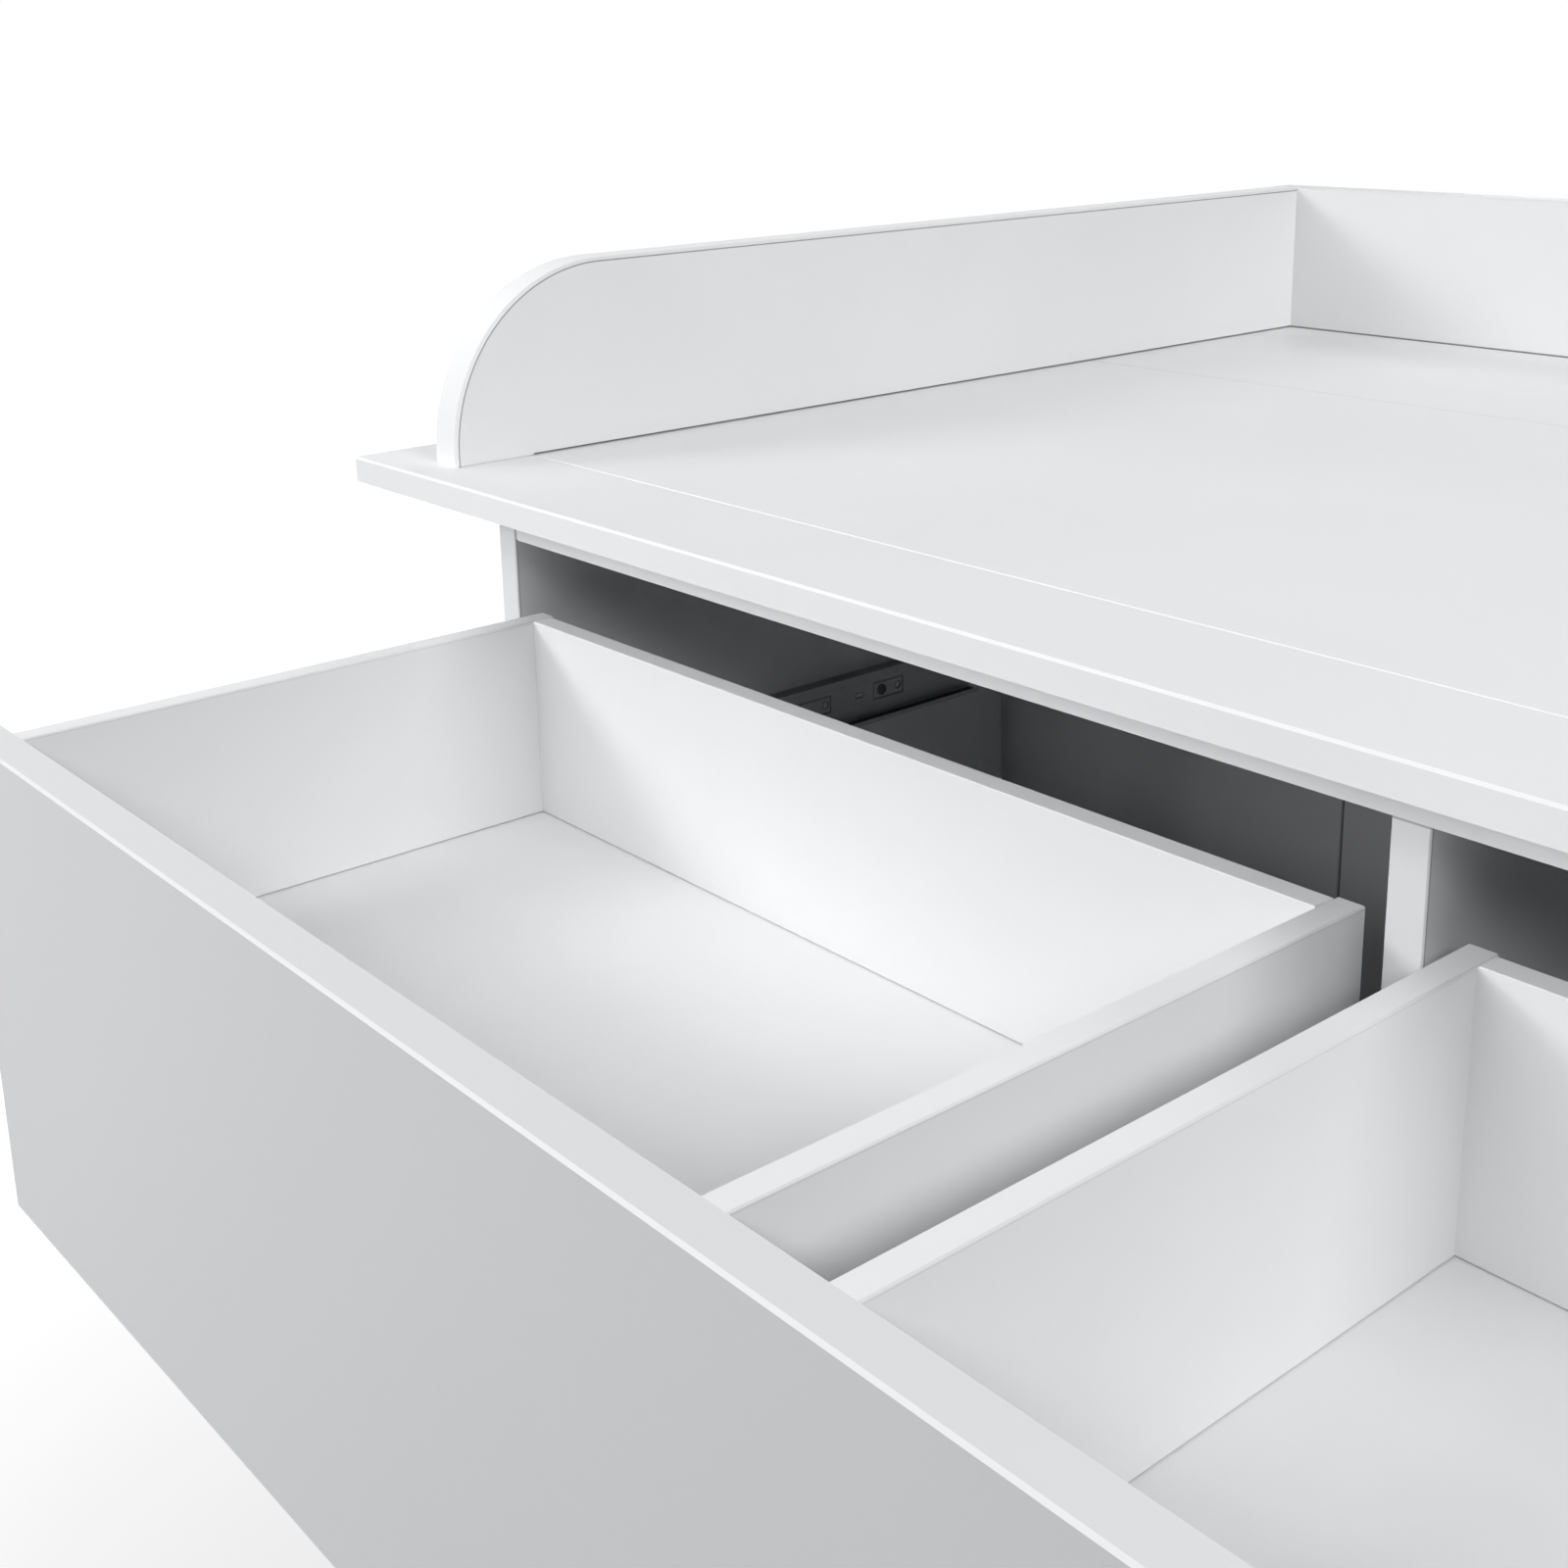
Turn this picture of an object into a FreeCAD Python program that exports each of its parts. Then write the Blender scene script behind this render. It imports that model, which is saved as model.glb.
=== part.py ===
import FreeCAD, Part
import math
import os

os.makedirs("parts", exist_ok=True)
V = FreeCAD.Vector

# Driving dimensions in millimetres.
# X runs to the right, Y to the rear, Z up. The origin is on the floor below the middle of the body.

# body boards
BOARD = 16.0              # side panels, divider, bottom panel
COLUMN_WIDTH = 562.0      # clear width between a side panel and the divider
BODY_DEPTH = 431.0        # side panels, front edge to rear edge
FOOT_HEIGHT = 30.0
FOOT_RADIUS = 24.0
FOOT_INSET = 62.0         # foot centre from the outer faces of the body
FOOT_BREAK = 2.0          # broken lower edge of the feet
RAIL_HEIGHT = 30.0        # rail below the top, seen above the upper drawers
RAIL_DEPTH = 18.0
RAIL_END_GAP = 0.8        # open joint at each end of the rail
RAIL_CORNER = 3.0         # rounded lower corners of the rail
BACK_SHEET = 3.0          # back sheets
BACK_INSET = 39.0         # front face of the back sheets to the rear edge of the side panels
GROOVE_DEPTH = 5.0
GROOVE_PLAY = 0.4
GROOVE_END_PLAY = 1.0     # edge of a back sheet to the bottom of its groove
FOLD_WIDTH = 2.4          # crease down the middle of each back sheet
FOLD_DEPTH = 1.2

# top of the dresser
TOP_BOARD = 14.0
SIDE_OVERHANG = 60.0      # top beyond the side panels
FRONT_OVERHANG = 54.0
REAR_OVERHANG = 56.0
STRIP_DEPTH = 74.0        # front strip of the top
TOP_SEAM = 0.4            # open joint between the three panels
TOP_BEVEL = 1.2           # broken front edge of the top
EDGE_BREAK = 0.6

# changing surround
SURFACE_DEPTH = 770.0     # front edge of the top to the back board
GUARD_BOARD = 22.0
GUARD_HEIGHT = 106.0
GUARD_CORNER = 100.0      # rounded front corner of the side boards
GUARD_SET_BACK = 24.0     # front edge of the side boards behind the front edge of the top
GUARD_INSET = 47.0        # outer face of the side boards from the end of the top
GUARD_ROUND = 1.5
GUARD_RELIEF = 1.2        # gap under the side boards behind the front strip

# drawers
ROWS = ("lower", "middle", "upper")
COLUMNS = ("left", "right")
FRONT_HEIGHT = 256.0
FRONT_BOARD = 18.0
FRONT_BREAK = 1.2
GRIP_GAP = 41.0           # finger space above each front
FRONT_LIFT = 2.0          # lowest front above the lower edge of the body
FRONT_END_REVEAL = 1.5    # outer faces of the body to the ends of a front
FRONT_PLAY = 1.0          # closed front in front of the body
BOX_BOARD = 12.0
BOX_LENGTH = 296.0        # inner face of the front to the rear end of the sides
BOX_HEIGHT = 128.0
BOX_INSIDE = 112.0        # upper edge of the sides to the drawer bottom
BOX_BACK_SETTLE = 1.6     # rear face of the back inside the rear ends of the sides
BOX_BOTTOM = 6.0
BOX_GROOVE = 5.0
BOX_JOINT = 0.6           # open joint above the drawer bottom
OPEN_SHORT = 8.0          # drawn out, a drawer keeps this much of its length inside

# slides, three nested members on each side of a drawer
SLIDE_GAP = 12.7          # side panel or divider to the drawer side
SLIDE_HEIGHT = 35.0
SLIDE_SHEET = 1.2
SLIDE_BEYOND = 54.0       # member on the body, longer than the drawer sides
SLIDE_SET_BACK = 8.0      # behind the front edge of the body
SLIDE_DROP = 108.5        # upper edge of the drawer sides to the middle of the slide
SLIDE_FLANGE = 10.0       # outer member, web to flange edge
SLIDE_LIP = 1.3           # inward lip of the outer member
MIDDLE_BEYOND = 4.0       # middle member, longer than the drawer sides
MIDDLE_SET_BACK = 4.0     # behind the front end of the outer member when closed
MIDDLE_OFFSET = 2.9       # web of the middle member from the body
MIDDLE_FLANGE = 7.5
INNER_SHORT = 8.0         # member on the drawer, shorter than the drawer sides
INNER_SET_BACK = 4.0      # behind the inner face of the front
INNER_FLANGE = 7.7
BALL_GAP = 2.1            # ball space between nested flanges
PAD_LENGTH = 26.0         # embossed pads of the outer member
PAD_HEIGHT = 11.0
PAD_DEPTH = 0.4
PAD_PITCH = 64.0
PAD_START = 69.0          # from the front end of the outer member
PAD_COUNT = 4
PAD_HOLE = 2.2            # radius of the hole in each pad
PAD_HOLE_AT = 22.0
SLOT_AT = 48.0            # slot after each pad
SLOT_LENGTH = 7.0
SLOT_RADIUS = 1.5
SCREW_AT = 7.0            # screw in the first and the last pad
SCREW_HEAD = 3.6
SCREW_HEAD_HEIGHT = 1.0
SCREW_SHANK = 1.6
SCREW_LENGTH = 7.0
RECESS_SPAN = 3.8         # cross recess of the screws
RECESS_WIDTH = 0.9
RECESS_DEPTH = 0.6
HEAD_SIDES = 16           # flats round a screw head
SHANK_SIDES = 8           # flats round a screw and its holes
HOLE_SIDES = 12           # flats round a pad hole

# Levels and positions that follow from the sizes above.
ROW_PITCH = FRONT_HEIGHT + GRIP_GAP
FIRST_FRONT = FOOT_HEIGHT + FRONT_LIFT
BODY_TOP = FIRST_FRONT + len(ROWS) * ROW_PITCH + RAIL_HEIGHT
TOP_LEVEL = BODY_TOP + TOP_BOARD
BODY_HALF = COLUMN_WIDTH + 1.5 * BOARD
TOP_HALF = BODY_HALF + SIDE_OVERHANG
Y_FRONT = -BODY_DEPTH / 2.0
Y_REAR = BODY_DEPTH / 2.0
Y_SHEET = Y_REAR - BACK_INSET
Y_TOP_FRONT = Y_FRONT - FRONT_OVERHANG
Y_TOP_REAR = Y_REAR + REAR_OVERHANG
Y_WALL = Y_TOP_FRONT + SURFACE_DEPTH
Y_WALL_REAR = Y_WALL + GUARD_BOARD
FRONT_HALF = BODY_HALF - FRONT_END_REVEAL
Y_CLOSED = Y_FRONT - FRONT_PLAY
BOX_WIDTH = COLUMN_WIDTH - 2.0 * SLIDE_GAP
OPEN_TRAVEL = BOX_LENGTH - OPEN_SHORT
SLIDE_LENGTH = BOX_LENGTH + SLIDE_BEYOND
MIDDLE_LENGTH = BOX_LENGTH + MIDDLE_BEYOND
INNER_LENGTH = BOX_LENGTH - INNER_SHORT
SCREWED_PADS = (0, PAD_COUNT - 1)


def box(x0, x1, y0, y1, z0, z1):
    return Part.makeBox(x1 - x0, y1 - y0, z1 - z0, V(x0, y0, z0))


def broken(shape, size, wanted):
    edges = [edge for edge in shape.Edges if wanted(edge.BoundBox)]
    return shape.makeChamfer(size, edges)


def prism(points, direction):
    corners = [V(*point) for point in points]
    return Part.Face(Part.makePolygon(corners + corners[:1])).extrude(direction)


def save(name, shape):
    shape.exportStep("parts/" + name + ".step")


def mirrored(shape):
    return shape.mirror(V(0, 0, 0), V(1, 0, 0))


def column_low(column):
    # X of the clear space's left side
    if column == "left":
        return -COLUMN_WIDTH - BOARD / 2.0
    return BOARD / 2.0


def row_top(row):
    # upper edge of the front and of the drawer sides
    return FIRST_FRONT + ROWS.index(row) * ROW_PITCH + FRONT_HEIGHT


def slide_level(row):
    return row_top(row) - SLIDE_DROP


def opening(row):
    # the upper drawer is shown drawn out, the others closed
    if row == ROWS[-1]:
        return OPEN_TRAVEL
    return 0.0


def slide_sides(column):
    # wall face of each slide in a column, with the direction toward the drawer
    low = column_low(column)
    return ((low, 1.0), (low + COLUMN_WIDTH, -1.0))


def channel(face, toward, depth, half, lip, y0, length, level):
    # C profile: web on the face, flanges of the given depth, lips turned inward
    inside = half - SLIDE_SHEET
    upper = [(SLIDE_SHEET, inside)]
    if lip > 0:
        upper.append((depth - SLIDE_SHEET, inside))
        upper.append((depth - SLIDE_SHEET, inside - lip))
    upper += [(depth, inside - lip), (depth, half), (0, half)]
    lower = [(px, -pz) for px, pz in reversed(upper)]
    points = [(face + toward * px, y0, level + pz) for px, pz in lower + upper]
    return prism(points, V(0, length, 0))


def ring(x, y, z, radius, sides):
    # corners of a regular polygon across X, its flats at the given radius
    half = math.pi / sides
    reach = radius / math.cos(half)
    angles = [(2 * index + 1) * half for index in range(sides)]
    return [(x, y + reach * math.cos(angle), z + reach * math.sin(angle)) for angle in angles]


def bar(radius, base, reach, sides):
    # many-sided bar or hole along X, from the base over the signed reach
    return prism(ring(base.x, base.y, base.z, radius, sides), V(reach, 0, 0))


def slot(x, y0, y1, z, reach):
    # slot along Y with rounded ends
    corners = ring(x, 0, z, SLOT_RADIUS, 8)
    centres = (y0 + SLOT_RADIUS, y1 - SLOT_RADIUS)
    return prism([(px, centres[py > 0] + py, pz) for px, py, pz in corners], V(reach, 0, 0))


def pad_start(index):
    return Y_FRONT + SLIDE_SET_BACK + PAD_START + index * PAD_PITCH


def outer_member(wall, toward, level):
    # member screwed to the body: pads with holes, slots between them
    y0 = Y_FRONT + SLIDE_SET_BACK
    half = SLIDE_HEIGHT / 2.0
    member = channel(wall, toward, SLIDE_FLANGE, half, SLIDE_LIP, y0, SLIDE_LENGTH, level)
    through = toward * (SLIDE_SHEET + 2.0)
    face = wall + toward * (SLIDE_SHEET - PAD_DEPTH)
    ends = sorted((face, face + toward))
    low = level - PAD_HEIGHT / 2.0
    cuts = []
    for index in range(PAD_COUNT):
        y = pad_start(index)
        start = V(wall - toward, y, level)
        cuts.append(box(ends[0], ends[1], y, y + PAD_LENGTH, low, low + PAD_HEIGHT))
        cuts.append(bar(PAD_HOLE, start + V(0, PAD_HOLE_AT, 0), through, HOLE_SIDES))
        if index in SCREWED_PADS:
            cuts.append(bar(SCREW_SHANK, start + V(0, SCREW_AT, 0), through, SHANK_SIDES))
        if index < PAD_COUNT - 1:
            cuts.append(slot(start.x, y + SLOT_AT, y + SLOT_AT + SLOT_LENGTH, level, through))
    return member.cut(Part.makeCompound(cuts))


def middle_member(wall, toward, level, shift):
    y0 = Y_FRONT + SLIDE_SET_BACK + MIDDLE_SET_BACK - shift
    half = SLIDE_HEIGHT / 2.0 - SLIDE_SHEET - BALL_GAP
    face = wall + toward * MIDDLE_OFFSET
    return channel(face, toward, MIDDLE_FLANGE, half, 0.0, y0, MIDDLE_LENGTH, level)


def inner_member(wall, toward, level, shift):
    # member on the drawer side, its flanges pointing back to the body
    y0 = Y_CLOSED + INNER_SET_BACK - shift
    half = SLIDE_HEIGHT / 2.0 - 2.0 * SLIDE_SHEET - 2.0 * BALL_GAP
    face = wall + toward * SLIDE_GAP
    return channel(face, -toward, INNER_FLANGE, half, 0.0, y0, INNER_LENGTH, level)


def screw_places(wall, toward, level):
    return [V(wall, pad_start(index) + SCREW_AT, level) for index in SCREWED_PADS]


def screw(place, toward):
    # low head with a cross recess, shank into the board
    across = V(toward, 0, 0)
    seat = place + across * (SLIDE_SHEET - PAD_DEPTH)
    head = bar(SCREW_HEAD, seat, toward * SCREW_HEAD_HEIGHT, HEAD_SIDES)
    shank = bar(SCREW_SHANK, seat, -toward * (SCREW_LENGTH + SLIDE_SHEET - PAD_DEPTH), SHANK_SIDES)
    floor = seat.x + toward * (SCREW_HEAD_HEIGHT - RECESS_DEPTH)
    ends = sorted((floor, floor + toward * 2.0 * RECESS_DEPTH))
    long = RECESS_SPAN / 2.0
    thin = RECESS_WIDTH / 2.0
    lying = box(ends[0], ends[1], place.y - long, place.y + long, place.z - thin, place.z + thin)
    standing = box(ends[0], ends[1], place.y - thin, place.y + thin, place.z - long, place.z + long)
    return head.fuse(shank).cut(lying.fuse(standing))


def pilot(place, toward):
    return bar(SCREW_SHANK, place + V(toward, 0, 0), -toward * (SCREW_LENGTH + 1.0), SHANK_SIDES)


# All slides on the body, with their screws and the pilot holes they sit in.
outer_members = []
screws = []
pilots = []
for column in COLUMNS:
    for row in ROWS:
        for wall, toward in slide_sides(column):
            level = slide_level(row)
            outer_members.append(outer_member(wall, toward, level))
            for place in screw_places(wall, toward, level):
                screws.append(screw(place, toward))
                pilots.append(pilot(place, toward))
save("body_slide_members", Part.makeCompound(outer_members))
save("slide_screws", Part.makeCompound(screws))
pilots = Part.makeCompound(pilots)

# Side panels with the groove for the back sheets.
side = box(-BODY_HALF, -BODY_HALF + BOARD, Y_FRONT, Y_REAR, FOOT_HEIGHT, BODY_TOP)
side = broken(side, EDGE_BREAK, lambda b: b.YMax < Y_FRONT + 0.1 and b.ZLength > b.XLength)
groove_end = -BODY_HALF + BOARD - GROOVE_DEPTH
groove_rear = Y_SHEET + BACK_SHEET + GROOVE_PLAY
side = side.cut(box(groove_end, -BODY_HALF + BOARD + 1, Y_SHEET, groove_rear, FOOT_HEIGHT - 1, BODY_TOP + 1))
save("side_panel_left", side.cut(pilots))
save("side_panel_right", mirrored(side).cut(pilots))

# Bottom panel between the side panels, in front of the back sheets.
bottom = box(-BODY_HALF + BOARD, BODY_HALF - BOARD, Y_FRONT, Y_SHEET, FOOT_HEIGHT, FOOT_HEIGHT + BOARD)
save("bottom_panel", broken(bottom, EDGE_BREAK, lambda b: b.YMax < Y_FRONT + 0.1 and b.XLength > b.ZLength))

# Divider, notched for the rail, grooved on both faces.
floor_level = FOOT_HEIGHT + BOARD
divider = box(-BOARD / 2.0, BOARD / 2.0, Y_FRONT, Y_REAR, floor_level, BODY_TOP)
divider = broken(divider, EDGE_BREAK, lambda b: b.YMax < Y_FRONT + 0.1 and b.ZLength > b.XLength)
rail_low = BODY_TOP - RAIL_HEIGHT
divider = divider.cut(box(-BOARD, BOARD, Y_FRONT - 1, Y_FRONT + RAIL_DEPTH, rail_low, BODY_TOP + 1))
for toward in (-1.0, 1.0):
    ends = sorted((toward * (BOARD / 2.0 - GROOVE_DEPTH), toward * BOARD))
    divider = divider.cut(box(ends[0], ends[1], Y_SHEET, groove_rear, floor_level - 1, BODY_TOP + 1))
save("centre_divider", divider.cut(pilots))

# Rail below the top, with rounded lower corners.
rail_half = BODY_HALF - BOARD - RAIL_END_GAP
rail = box(-rail_half, rail_half, Y_FRONT, Y_FRONT + RAIL_DEPTH, rail_low, BODY_TOP)
corners = [
    edge for edge in rail.Edges
    if edge.BoundBox.ZMax < rail_low + 0.1 and edge.BoundBox.XLength < 0.1
]
rail = rail.makeFillet(RAIL_CORNER, corners)
save("top_rail", rail)

# Back sheets, one per column, each with a crease down its middle.
for column in COLUMNS:
    low = column_low(column) - GROOVE_DEPTH + GROOVE_END_PLAY
    high = column_low(column) + COLUMN_WIDTH + GROOVE_DEPTH - GROOVE_END_PLAY
    middle = (low + high) / 2.0
    sheet = box(low, high, Y_SHEET, Y_SHEET + BACK_SHEET, FOOT_HEIGHT, BODY_TOP)
    half = FOLD_WIDTH / 2.0
    crease = [(middle - half, Y_SHEET, 0), (middle + half, Y_SHEET, 0), (middle, Y_SHEET + FOLD_DEPTH, 0)]
    save("back_sheet_" + column, sheet.cut(prism(crease, V(0, 0, TOP_LEVEL))))

# Top: front strip, main panel behind a V joint, rear panel that fills the depth to the back board.
strip_rear = Y_TOP_FRONT + STRIP_DEPTH
main_front = strip_rear + TOP_SEAM
strip = box(-TOP_HALF, TOP_HALF, Y_TOP_FRONT, strip_rear, BODY_TOP, TOP_LEVEL)
strip = broken(strip, TOP_BEVEL, lambda b: b.ZMin > TOP_LEVEL - 0.1 and b.YMax < Y_TOP_FRONT + 0.1)
strip = broken(strip, EDGE_BREAK, lambda b: b.ZMin > TOP_LEVEL - 0.1 and b.YMin > strip_rear - 0.1)
save("top_front_strip", strip)
main = box(-TOP_HALF, TOP_HALF, main_front, Y_TOP_REAR - TOP_SEAM, BODY_TOP, TOP_LEVEL)
main = broken(main, EDGE_BREAK, lambda b: b.ZMin > TOP_LEVEL - 0.1 and b.YMax < main_front + 0.1)
save("top_main_panel", main)
save("top_rear_panel", box(-TOP_HALF, TOP_HALF, Y_TOP_REAR, Y_WALL_REAR, BODY_TOP, TOP_LEVEL))

# Changing surround: two side boards with a large rounded front corner, and the back board.
guard_outer = -TOP_HALF + GUARD_INSET
guard_inner = guard_outer + GUARD_BOARD
guard_front = Y_TOP_FRONT + GUARD_SET_BACK
guard_top = TOP_LEVEL + GUARD_HEIGHT
guard = box(guard_outer, guard_inner, guard_front, Y_WALL, TOP_LEVEL, guard_top)
corners = [
    edge for edge in guard.Edges
    if edge.BoundBox.YMax < guard_front + 0.1 and edge.BoundBox.ZMin > guard_top - 0.1
]
guard = guard.makeFillet(GUARD_CORNER, corners)


def guard_rim(b):
    # long outer edges of the rounded outline, on both faces
    flat = b.XLength < 0.1
    return flat and b.ZMax > TOP_LEVEL + 0.1 and b.YMin < Y_WALL - 0.1


guard = broken(guard, GUARD_ROUND, guard_rim)
guard = broken(guard, EDGE_BREAK, lambda b: b.ZMax < TOP_LEVEL + 0.1 and b.YLength > b.XLength)
relief_low = TOP_LEVEL - 1.0
relief_high = TOP_LEVEL + GUARD_RELIEF
guard = guard.cut(box(guard_outer - 1, guard_inner + 1, strip_rear, Y_WALL + 1, relief_low, relief_high))
save("changing_side_left", guard)
save("changing_side_right", mirrored(guard))
back = box(guard_outer, -guard_outer, Y_WALL, Y_WALL_REAR, TOP_LEVEL, guard_top)
back = broken(back, GUARD_ROUND, lambda b: b.ZMin > guard_top - 0.1 and b.XLength > b.YLength)
back = broken(back, EDGE_BREAK, lambda b: b.ZMax < TOP_LEVEL + 0.1 and b.YMax < Y_WALL + 0.1)
save("changing_back", back)


def foot(x, y):
    block = Part.makeCylinder(FOOT_RADIUS, FOOT_HEIGHT, V(x, y, 0), V(0, 0, 1))
    return broken(block, FOOT_BREAK, lambda b: b.ZMax < 0.1)


# Feet: four at the corners and one below the divider.
foot_x = BODY_HALF - FOOT_INSET
foot_y = BODY_DEPTH / 2.0 - FOOT_INSET
save("corner_feet", Part.makeCompound([foot(x, y) for x in (-foot_x, foot_x) for y in (-foot_y, foot_y)]))
save("centre_foot", foot(0.0, 0.0))


def box_side(x, row_shift, upper):
    # side board of a drawer box, its upper edges broken
    y0 = Y_CLOSED - row_shift
    board = box(x, x + BOX_BOARD, y0, y0 + BOX_LENGTH, upper - BOX_HEIGHT, upper)
    return broken(board, EDGE_BREAK, lambda b: b.ZMin > upper - 0.1 and b.YLength > b.XLength)


# Drawers: one wide front in each row, a box behind it in each column, and the moving slide members.
for row in ROWS:
    shift = opening(row)
    upper = row_top(row)
    level = slide_level(row)
    y_inner = Y_CLOSED - shift
    y_outer = y_inner - FRONT_BOARD
    y_end = y_inner + BOX_LENGTH
    y_groove = y_inner - BOX_GROOVE
    back_rear = y_end - BOX_BACK_SETTLE
    base = upper - BOX_INSIDE - BOX_BOTTOM
    inside_low = upper - BOX_INSIDE + BOX_JOINT

    front = box(-FRONT_HALF, FRONT_HALF, y_outer, y_inner, upper - FRONT_HEIGHT, upper)
    front = broken(front, FRONT_BREAK, lambda b: b.YMax < y_outer + 0.1)
    inner = []
    middle = []
    for column in COLUMNS:
        name = row + "_" + column + "_box_"
        low = column_low(column) + SLIDE_GAP
        high = low + BOX_WIDTH
        slot_low = low + BOX_BOARD - BOX_GROOVE
        slot_high = high - BOX_BOARD + BOX_GROOVE
        slot = box(slot_low, slot_high, y_groove, y_end + 1, base, inside_low)
        front = front.cut(slot)
        save(name + "side_left", box_side(low, shift, upper).cut(slot))
        save(name + "side_right", box_side(high - BOX_BOARD, shift, upper).cut(slot))

        back = box(low + BOX_BOARD, high - BOX_BOARD, back_rear - BOX_BOARD, back_rear, inside_low, upper)
        save(name + "back", broken(back, EDGE_BREAK, lambda b: b.ZMin > upper - 0.1))
        save(name + "bottom", box(slot_low, slot_high, y_groove, back_rear, base, base + BOX_BOTTOM))

        for wall, toward in slide_sides(column):
            inner.append(inner_member(wall, toward, level, shift))
            middle.append(middle_member(wall, toward, level, shift / 2.0))
    save(row + "_front", front)
    save(row + "_drawer_slides", Part.makeCompound(inner))
    save(row + "_slide_carriages", Part.makeCompound(middle))
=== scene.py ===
import bpy
from mathutils import Matrix, Vector


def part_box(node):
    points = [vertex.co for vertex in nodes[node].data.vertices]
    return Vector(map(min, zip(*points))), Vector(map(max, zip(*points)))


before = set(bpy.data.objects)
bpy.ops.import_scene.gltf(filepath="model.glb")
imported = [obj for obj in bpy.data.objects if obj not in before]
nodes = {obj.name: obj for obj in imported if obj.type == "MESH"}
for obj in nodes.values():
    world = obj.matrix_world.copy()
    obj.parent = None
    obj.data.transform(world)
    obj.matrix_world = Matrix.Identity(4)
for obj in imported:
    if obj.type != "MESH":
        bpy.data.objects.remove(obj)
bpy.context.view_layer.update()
scene = bpy.context.scene
scene.view_settings.view_transform = "Standard"

X, Y, Z = range(3)

# Tones
WHITE = (0.855, 0.861, 0.875)
# drawer fronts: a greyer copy of the white board, painted shade
FRONT = (0.65, 0.655, 0.668)
# lighter tone on the faces of the fronts that look up, painted highlight
FRONT_TOP_HIGHLIGHT = (0.74, 0.746, 0.76)
DRAWER_SIDE = (0.86, 0.865, 0.875)
DRAWER_BACK = (0.87, 0.875, 0.88)
# lighter tone on the top edges of the drawer backs, painted highlight
DRAWER_BACK_TOP_HIGHLIGHT = (0.94, 0.945, 0.95)
DRAWER_BOTTOM = (0.88, 0.885, 0.895)
# back sheets: greyer hardboard, made darker still as painted shade of the closed interior
BACK_SHEET = (0.50, 0.504, 0.513)
# back board of the changing top: a darker copy of the white board, painted shade
BACK_BOARD = (0.76, 0.765, 0.775)
# changing side boards: a lighter copy of the white board, painted light; their rounded edge darker,
# painted shade
GUARD = (0.93, 0.935, 0.945)
GUARD_EDGE_PAINTED_SHADE = (0.83, 0.836, 0.85)
# dark line of edge bands; the same tone is painted shade in joints and creases
BAND_LINE_AND_JOINT_SHADE = (0.20, 0.21, 0.22)
STEEL = (0.60, 0.61, 0.62)
BODY_STEEL = (0.72, 0.73, 0.74)
SCREW_STEEL = (0.22, 0.225, 0.23)
# painted shade round the pads, holes and slots of the slide's body member
PAINTED_PAD_SHADE = (0.05, 0.05, 0.052)
RACE_SHADE = (0.03, 0.03, 0.032)
FOOT_PLASTIC = (0.55, 0.55, 0.545)
FLOOR_TONES = ((0.22, 0.22, 0.22), (0.24, 0.24, 0.24))

# Lines in the materials, in metres
EDGE_BAND = 0.0012        # line of an edge band, from the edge of its board
JOINT = 0.0003            # shade in a joint, from the edge of its board
BACK_JOINT = 0.0004       # shade below the back board, above the top
RAIL_SHADE = (0.0003, 0.0007)  # shade on the divider below the rail fades between these distances
GUARD_RADIUS = 0.100      # rounded corner of the changing side boards
GUARD_LINE = 0.0021       # their line, from the outline
GUARD_BAND = (0.0012, 0.0017)  # from here inwards the large face begins

# Slide member on the body, in metres
PAD_PITCH = 0.064
PAD_LENGTH = 0.026
PAD_HEIGHT = 0.011
PAD_COUNT = 4
PAD_MARGIN = 0.001        # outlines end this far before the first pad and past the last
PITCH_START = 0.01        # a pitch is counted from this far before its pad
SCREW_RADIUS = 0.0036
SCREW_IN_PAD = 0.007      # centre of a screw, from the start of its pad
# centre from the start of the pad, half length, radius
HOLE = (0.022, 0.0, 0.0022)
SLOT = (0.0515, 0.002, 0.0015)
LOWER_RACE = (-0.0160, -0.0155)
UPPER_FLANGE = (0.0165, 0.0170)


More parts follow.
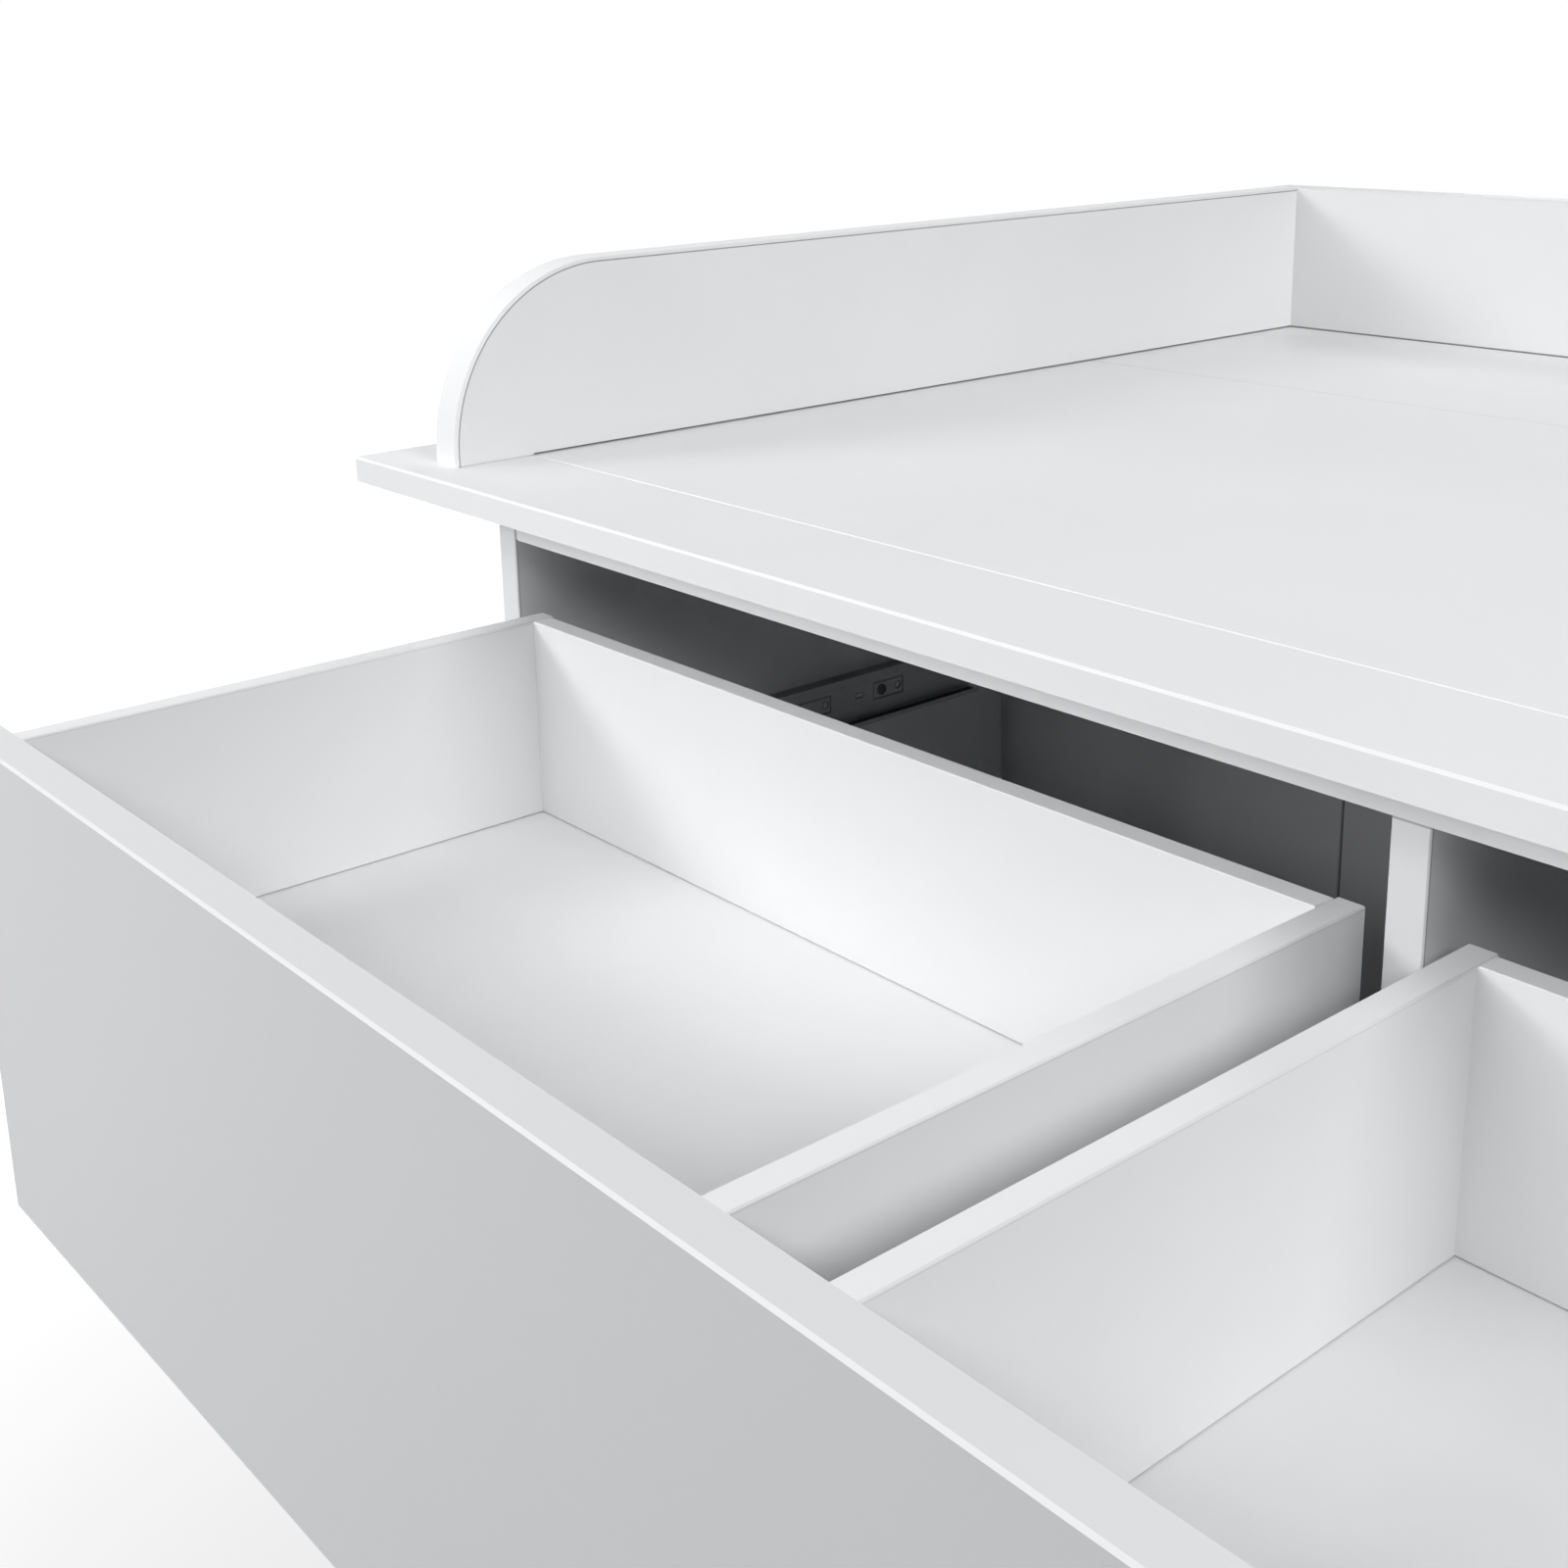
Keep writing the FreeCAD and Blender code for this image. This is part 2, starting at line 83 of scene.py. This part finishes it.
# Small helper for shader node trees.
class Tree:
    def __init__(self, name):
        self.material = bpy.data.materials.new(name)
        self.material.use_nodes = True
        self.tree = self.material.node_tree
        self.shader = self.tree.nodes["Principled BSDF"]
        texture = self.tree.nodes.new("ShaderNodeTexCoord")
        self.coords = texture.outputs["Object"]
        self.normal = texture.outputs["Normal"]

    def link(self, source, target):
        self.tree.links.new(source, target)

    def put(self, value, target):
        if hasattr(value, "is_output"):
            self.link(value, target)
        else:
            target.default_value = value

    def math(self, operation, a, b=0.0):
        node = self.tree.nodes.new("ShaderNodeMath")
        node.operation = operation
        self.put(a, node.inputs[0])
        self.put(b, node.inputs[1])
        return node.outputs[0]

    def away(self, value, place):
        # distance of a value from a place, on either side
        return self.math("ABSOLUTE", self.math("SUBTRACT", value, place))

    def noise(self, scale, detail=3.0, rough=0.5, stretch=(1, 1, 1)):
        mapping = self.tree.nodes.new("ShaderNodeMapping")
        mapping.inputs["Scale"].default_value = stretch
        self.link(self.coords, mapping.inputs["Vector"])
        node = self.tree.nodes.new("ShaderNodeTexNoise")
        node.inputs["Scale"].default_value = scale
        node.inputs["Detail"].default_value = detail
        node.inputs["Roughness"].default_value = rough
        self.link(mapping.outputs[0], node.inputs["Vector"])
        return node.outputs["Fac"]

    def remap(self, value, a, b, c, d, smooth=False):
        # a to b becomes c to d
        node = self.tree.nodes.new("ShaderNodeMapRange")
        if smooth:
            node.interpolation_type = "SMOOTHSTEP"
        self.put(value, node.inputs["Value"])
        for key, number in (("From Min", a), ("From Max", b), ("To Min", c), ("To Max", d)):
            node.inputs[key].default_value = number
        return node.outputs["Result"]

    def mix(self, factor, a, b):
        node = self.tree.nodes.new("ShaderNodeMix")
        node.data_type = "RGBA"
        self.put(factor, node.inputs[0])
        for socket, value in ((node.inputs[6], a), (node.inputs[7], b)):
            self.put(value if hasattr(value, "is_output") else (*value, 1.0), socket)
        return node.outputs[2]

    def bump(self, height, distance, strength):
        node = self.tree.nodes.new("ShaderNodeBump")
        node.inputs["Strength"].default_value = strength
        node.inputs["Distance"].default_value = distance
        self.link(height, node.inputs["Height"])
        return node.outputs["Normal"]

    def axes(self, vector=None):
        node = self.tree.nodes.new("ShaderNodeSeparateXYZ")
        self.link(self.coords if vector is None else vector, node.inputs[0])
        return node.outputs[X], node.outputs[Y], node.outputs[Z]

    def upward(self):
        # 1 on faces that look up
        return self.math("GREATER_THAN", self.axes(self.normal)[Z], 0.5)

    def overlay(self, mask, tone):
        # lays another tone over the base colour where the mask is 1
        socket = self.shader.inputs["Base Color"]
        self.link(self.mix(mask, socket.links[0].from_socket, tone), socket)

    def line(self, distance, width, depth):
        # soft line: full depth up to 0.4 of its half width, none at the half width
        return self.remap(distance, width * 0.4, width, depth, 0.0, True)


def shade(tone, share):
    return [c * share for c in tone]


def lacquer(name, tone, rough=0.42, pearl=0.00005):
    # satin white board: faint cloudiness, fine pearl texture, slight change of gloss
    t = Tree(name)
    cloud = t.noise(5.0, detail=4.0, rough=0.55)
    fine = t.noise(420.0, detail=2.0, rough=0.6)
    colour = t.mix(t.remap(cloud, 0.3, 0.7, 0.0, 1.0), shade(tone, 0.965), tone)
    speck = t.remap(fine, 0.35, 0.65, 0.0, 0.09)
    colour = t.mix(speck, colour, shade(tone, 0.93))
    t.link(colour, t.shader.inputs["Base Color"])
    gloss = t.remap(cloud, 0.3, 0.7, rough - 0.05, rough + 0.06)
    t.link(gloss, t.shader.inputs["Roughness"])
    t.link(t.bump(fine, pearl, strength=0.5), t.shader.inputs["Normal"])
    t.shader.inputs["IOR"].default_value = 1.5
    t.shader.inputs["Specular IOR Level"].default_value = 0.25
    return t


def banded(name, tone, axis, places, rough=0.42, width=0.0004, depth=0.6):
    # board with a thin dark line at each place along one axis: an edge band's line, or painted shade in
    # a joint or a crease
    t = lacquer(name, tone, rough)
    value = t.axes()[axis]
    mask = 0.0
    for place in places:
        mask = t.math("MAXIMUM", mask, t.line(t.away(value, place), width, depth))
    t.overlay(mask, BAND_LINE_AND_JOINT_SHADE)
    return t


def guard_board(name, tone):
    # changing side board: the edge band shows as a thin dark line just inside the rounded outline
    t = lacquer(name, tone)
    low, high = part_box("changing_side_left")
    y, z = t.axes()[Y:]
    across = t.math("MAXIMUM", t.math("SUBTRACT", low[Y] + GUARD_RADIUS, y), 0.0)
    above = t.math("MAXIMUM", t.math("SUBTRACT", z, high[Z] - GUARD_RADIUS), 0.0)
    squares = t.math("ADD", t.math("MULTIPLY", across, across), t.math("MULTIPLY", above, above))
    inside = t.math("SUBTRACT", GUARD_RADIUS, t.math("SQRT", squares))
    line = t.line(t.away(inside, GUARD_LINE), width=0.00055, depth=0.75)
    # the line is only on the two large faces; the rounded edge gets a darker tone, painted shade
    face = t.remap(inside, *GUARD_BAND, 0.0, 1.0)
    t.overlay(t.math("SUBTRACT", 1.0, face), GUARD_EDGE_PAINTED_SHADE)
    t.overlay(t.math("MULTIPLY", line, face), BAND_LINE_AND_JOINT_SHADE)
    return t


def zinc(name, tone, rough=0.45):
    # rolled zinc-plated steel: streaks along the slide, small spangle
    t = Tree(name)
    streak = t.noise(160.0, detail=3.0, rough=0.6, stretch=(6.0, 0.12, 6.0))
    spangle = t.noise(90.0, detail=2.0, rough=0.5)
    colour = t.mix(t.remap(streak, 0.3, 0.7, 0.0, 1.0), shade(tone, 0.82), tone)
    glint = t.remap(spangle, 0.4, 0.7, 0.0, 0.25)
    colour = t.mix(glint, colour, shade(tone, 1.1))
    t.link(colour, t.shader.inputs["Base Color"])
    gloss = t.remap(streak, 0.3, 0.7, rough - 0.07, rough + 0.1)
    t.link(gloss, t.shader.inputs["Roughness"])
    t.link(t.bump(streak, 0.00003, strength=0.4), t.shader.inputs["Normal"])
    t.shader.inputs["Metallic"].default_value = 0.85
    return t


def pressed(name, tone):
    # body member of the slide: painted shade round its pads, holes and slots, shade inside its curled
    # edges
    t = zinc(name, tone)
    first_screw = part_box("slide_screws")[0]
    y, z = t.axes()[Y:]

    def wrapped(value, start, pitch):
        # counts each pitch from the same start
        turned = t.math("FLOORED_MODULO", t.math("ADD", value, start), pitch)
        return t.math("SUBTRACT", turned, start)

    # y from the start of the first pad, z from the middle of the nearest slide
    y = t.math("SUBTRACT", y, first_screw[Y] + SCREW_RADIUS - SCREW_IN_PAD)
    z = t.math("SUBTRACT", z, first_screw[Z] + SCREW_RADIUS)
    z = wrapped(z, ROW_PITCH / 2, ROW_PITCH)
    along = wrapped(y, PITCH_START, PAD_PITCH)

    def outline(distance, width, depth):
        return t.line(t.math("ABSOLUTE", distance), width, depth)

    def ring(centre, half, radius):
        # distance to a slot of this half length, a round hole where it is 0
        off = t.math("MAXIMUM", t.math("SUBTRACT", t.away(along, centre), half), 0.0)
        squares = t.math("ADD", t.math("MULTIPLY", off, off), t.math("MULTIPLY", z, z))
        return t.math("SUBTRACT", t.math("SQRT", squares), radius)

    pad = t.math("MAXIMUM",
                 t.math("SUBTRACT", t.away(along, PAD_LENGTH / 2), PAD_LENGTH / 2),
                 t.math("SUBTRACT", t.math("ABSOLUTE", z), PAD_HEIGHT / 2))
    mask = outline(pad, width=0.0007, depth=0.6)
    for opening in (HOLE, SLOT):
        mask = t.math("MAXIMUM", mask, outline(ring(*opening), width=0.0008, depth=0.7))
    last_pad_end = (PAD_COUNT - 1) * PAD_PITCH + PAD_LENGTH
    within = t.math("MULTIPLY",
                    t.math("GREATER_THAN", y, -PAD_MARGIN),
                    t.math("LESS_THAN", y, last_pad_end + PAD_MARGIN))
    # painted shade along the outlines of pads, holes and slots
    t.overlay(t.math("MULTIPLY", mask, within), PAINTED_PAD_SHADE)
    race = t.remap(z, *LOWER_RACE, 0.93, 0.0)
    flange = t.remap(z, *UPPER_FLANGE, 0.0, 0.55)
    t.overlay(t.math("MULTIPLY", t.math("MAXIMUM", race, flange), t.upward()), RACE_SHADE)
    return t


def moulded(name, tone):
    # matte moulded plastic of the feet: fine spark texture
    t = Tree(name)
    spark = t.noise(900.0, detail=2.0, rough=0.6)
    scuff = t.noise(38.0, detail=4.0, rough=0.6)
    colour = t.mix(t.remap(scuff, 0.35, 0.7, 0.0, 1.0), tone, shade(tone, 0.86))
    t.link(colour, t.shader.inputs["Base Color"])
    t.link(t.remap(scuff, 0.3, 0.7, 0.5, 0.68), t.shader.inputs["Roughness"])
    t.link(t.bump(spark, 0.00012, strength=0.6), t.shader.inputs["Normal"])
    return t


# Places of the lines, from the solids
ROWS = ("lower", "middle", "upper")
ROW_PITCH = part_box("middle_front")[1][Z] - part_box("lower_front")[1][Z]
drawer_edges = [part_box(row + "_front")[1][Z] - EDGE_BAND for row in ROWS]
body_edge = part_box("side_panel_left")[0][Y] + EDGE_BAND
top_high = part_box("top_main_panel")[1]
rail_low, rail_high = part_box("top_rail")
rail_ends = [rail_low[X] + JOINT, rail_high[X] - JOINT]
creases = [sum(corner[X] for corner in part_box("back_sheet_" + side)) / 2 for side in ("left", "right")]

# Materials
board = lacquer("white_board", WHITE)
upright = banded("white_upright", WHITE, Y, [body_edge])
# fronts in the greyer tone, painted shade
fronts = lacquer("front_lacquer", FRONT, rough=0.4)
# painted highlight: faces of the fronts that look up are lighter
fronts.overlay(fronts.upward(), FRONT_TOP_HIGHLIGHT)
drawer_side = banded("drawer_side_board", DRAWER_SIDE, Z, drawer_edges, rough=0.46, depth=0.12)
drawer_back = lacquer("drawer_back_board", DRAWER_BACK, rough=0.46)
# painted highlight: faces of the drawer backs that look up are lighter
drawer_back.overlay(drawer_back.upward(), DRAWER_BACK_TOP_HIGHLIGHT)
drawer_bottom = lacquer("drawer_bottom_sheet", DRAWER_BOTTOM, rough=0.5, pearl=0.00008)
# painted shade in the joints below the back board, at the rear seam of the top and at the ends of the
# rail
back_board = banded("changing_back_board", BACK_BOARD, Z, [top_high[Z] + BACK_JOINT],
                    width=0.0012, depth=0.9)
main_panel = banded("white_main_panel", WHITE, Y, [top_high[Y] - JOINT], width=0.0006, depth=0.35)
rail = banded("white_rail", WHITE, X, rail_ends, width=0.0012, depth=0.9)
divider = banded("white_divider", WHITE, Y, [body_edge])
# painted shade on the divider below the rail
below_rail = divider.away(divider.axes()[Z], rail_low[Z] - JOINT)
divider.overlay(divider.remap(below_rail, *RAIL_SHADE, 0.6, 0.0, True), BAND_LINE_AND_JOINT_SHADE)
# painted shade along the crease in each back sheet
back_sheet = banded("back_sheet", BACK_SHEET, X, creases, rough=0.5, width=0.0009, depth=1.0)
guards = guard_board("changing_board", GUARD)
steel = zinc("slide_steel", STEEL)
body_steel = pressed("body_slide_steel", BODY_STEEL)
screw_steel = zinc("screw_steel", SCREW_STEEL, rough=0.38)
plastic = moulded("foot_plastic", FOOT_PLASTIC)

# The first words found in a node's name decide its material.
DRESS = (
    ("changing_side", guards), ("changing_back", back_board),
    ("top_main_panel", main_panel), ("top_rail", rail),
    ("side_panel", upright), ("centre_divider", divider), ("back_sheet", back_sheet),
    ("_box_bottom", drawer_bottom), ("_box_side", drawer_side), ("_box_back", drawer_back),
    ("top_front_strip", board), ("_front", fronts),
    ("slide_screws", screw_steel), ("body_slide_members", body_steel), ("slide", steel),
    ("_feet", plastic), ("_foot", plastic),
    ("", board),
)

for name, obj in nodes.items():
    look = next(look for words, look in DRESS if words in name)
    obj.data.materials.clear()
    obj.data.materials.append(look.material)


def seen_directly(tree):
    # 1 for rays from the camera, from gloss and through glass, 0 for the light on the object
    path = tree.nodes.new("ShaderNodeLightPath")
    value = path.outputs["Is Camera Ray"]
    for key in ("Is Glossy Ray", "Is Transmission Ray"):
        node = tree.nodes.new("ShaderNodeMath")
        node.operation = "MAXIMUM"
        tree.links.new(value, node.inputs[0])
        tree.links.new(path.outputs[key], node.inputs[1])
        value = node.outputs[0]
    return value


# Floor: pale and plain, white to the camera except in the object's shadow.
FLOOR_HALF = 12.0
GLOW_FROM, GLOW_TO = 0.6, 2.2     # distances from the middle of the object
GLOW_NEAR, GLOW_FAR = 0.62, 1.0
mesh = bpy.data.meshes.new("floor")
corners = [(FLOOR_HALF * sx, FLOOR_HALF * sy, 0) for sx, sy in ((-1, -1), (1, -1), (1, 1), (-1, 1))]
mesh.from_pydata(corners, [], [(0, 1, 2, 3)])
floor = bpy.data.objects.new("floor", mesh)
scene.collection.objects.link(floor)
t = Tree("pale_floor")
tone = t.mix(t.remap(t.noise(1.3, detail=3.0), 0.3, 0.7, 0.0, 1.0), *FLOOR_TONES)
t.link(tone, t.shader.inputs["Base Color"])
t.shader.inputs["Roughness"].default_value = 0.9
t.shader.inputs["Specular IOR Level"].default_value = 0.1
t.shader.inputs["Emission Color"].default_value = (1.0, 1.0, 1.0, 1.0)
x, y = t.axes()[:Z]
distance = t.math("SQRT", t.math("ADD", t.math("MULTIPLY", x, x), t.math("MULTIPLY", y, y)))
glow = t.remap(distance, GLOW_FROM, GLOW_TO, GLOW_NEAR, GLOW_FAR, True)
t.link(t.math("MULTIPLY", glow, seen_directly(t.tree)), t.shader.inputs["Emission Strength"])
mesh.materials.append(t.material)

# World: weak even light, seen as white by the camera and in reflections.
AMBIENT = 0.035
world = bpy.data.worlds.new("studio")
scene.world = world
world.use_nodes = True
back = world.node_tree.nodes["Background"]
back.inputs["Color"].default_value = (1.0, 1.0, 1.0, 1.0)
level = world.node_tree.nodes.new("ShaderNodeMapRange")
world.node_tree.links.new(seen_directly(world.node_tree), level.inputs["Value"])
level.inputs["To Min"].default_value = AMBIENT
level.inputs["To Max"].default_value = 1.0
world.node_tree.links.new(level.outputs["Result"], back.inputs["Strength"])

# Lamps: name, place, aim, width, height, watts
LAMPS = (
    ("key", (-2.0, -2.64, 2.0), (-0.3, -0.2, 0.85), 0.9, 0.7, 33),
    ("front_softbox", (-0.87, -3.35, 2.15), (-0.3, -0.2, 0.85), 1.0, 0.8, 20),
    ("front_overhead", (-0.4, -2.6, 3.0), (-0.3, -0.3, 0.85), 1.2, 0.8, 8),
    ("overhead", (-0.3, -1.2, 3.2), (-0.3, -0.4, 0.85), 1.2, 1.0, 5),
    ("low_left_softbox", (-1.3, -3.2, 1.2), (0.0, -0.2, 0.85), 1.4, 1.0, 7),
    ("front_right_softbox", (2.2, -2.4, 2.65), (-0.2, -0.2, 0.9), 1.0, 0.5, 24),
    ("right_softbox", (3.4, -0.6, 3.4), (0.0, 0.0, 0.9), 1.6, 1.6, 76),
    ("left_softbox", (-2.4, -1.0, 3.0), (0.0, 0.0, 0.9), 1.6, 1.6, 20),
    ("rear_overhead", (-0.8, 2.0, 3.2), (-0.3, 0.0, 0.9), 1.8, 1.2, 19),
    ("rear_fill", (-1.2, 3.2, 0.9), (0.0, 0.3, 0.6), 1.6, 1.0, 26),
)

for name, place, aim, width, height, watts in LAMPS:
    data = bpy.data.lights.new(name, "AREA")
    data.shape = "RECTANGLE"
    data.size = width
    data.size_y = height
    data.energy = watts
    lamp = bpy.data.objects.new(name, data)
    lamp.location = place
    lamp.rotation_euler = (Vector(aim) - Vector(place)).to_track_quat("-Z", "Y").to_euler()
    scene.collection.objects.link(lamp)

# Camera at the photograph's view: axes and place in the row frame.
RIGHT = Vector((0.645034, 0.763929, -0.01853))
UP = Vector((-0.18942, 0.183338, 0.964628))
FORWARD = Vector((-0.740305, 0.618708, -0.262963))
PLACE = Vector((0.36153, -0.79946, 1.18898))
camera_data = bpy.data.cameras.new("camera")
camera_data.sensor_width = 36.0
camera_data.lens = 46.22
camera_data.shift_y = -0.125
camera_data.clip_start = 0.01
camera = bpy.data.objects.new("camera", camera_data)
turn = Matrix((RIGHT, UP, -FORWARD)).transposed().to_4x4()
camera.matrix_world = Matrix.Translation(PLACE) @ turn
scene.collection.objects.link(camera)
scene.camera = camera
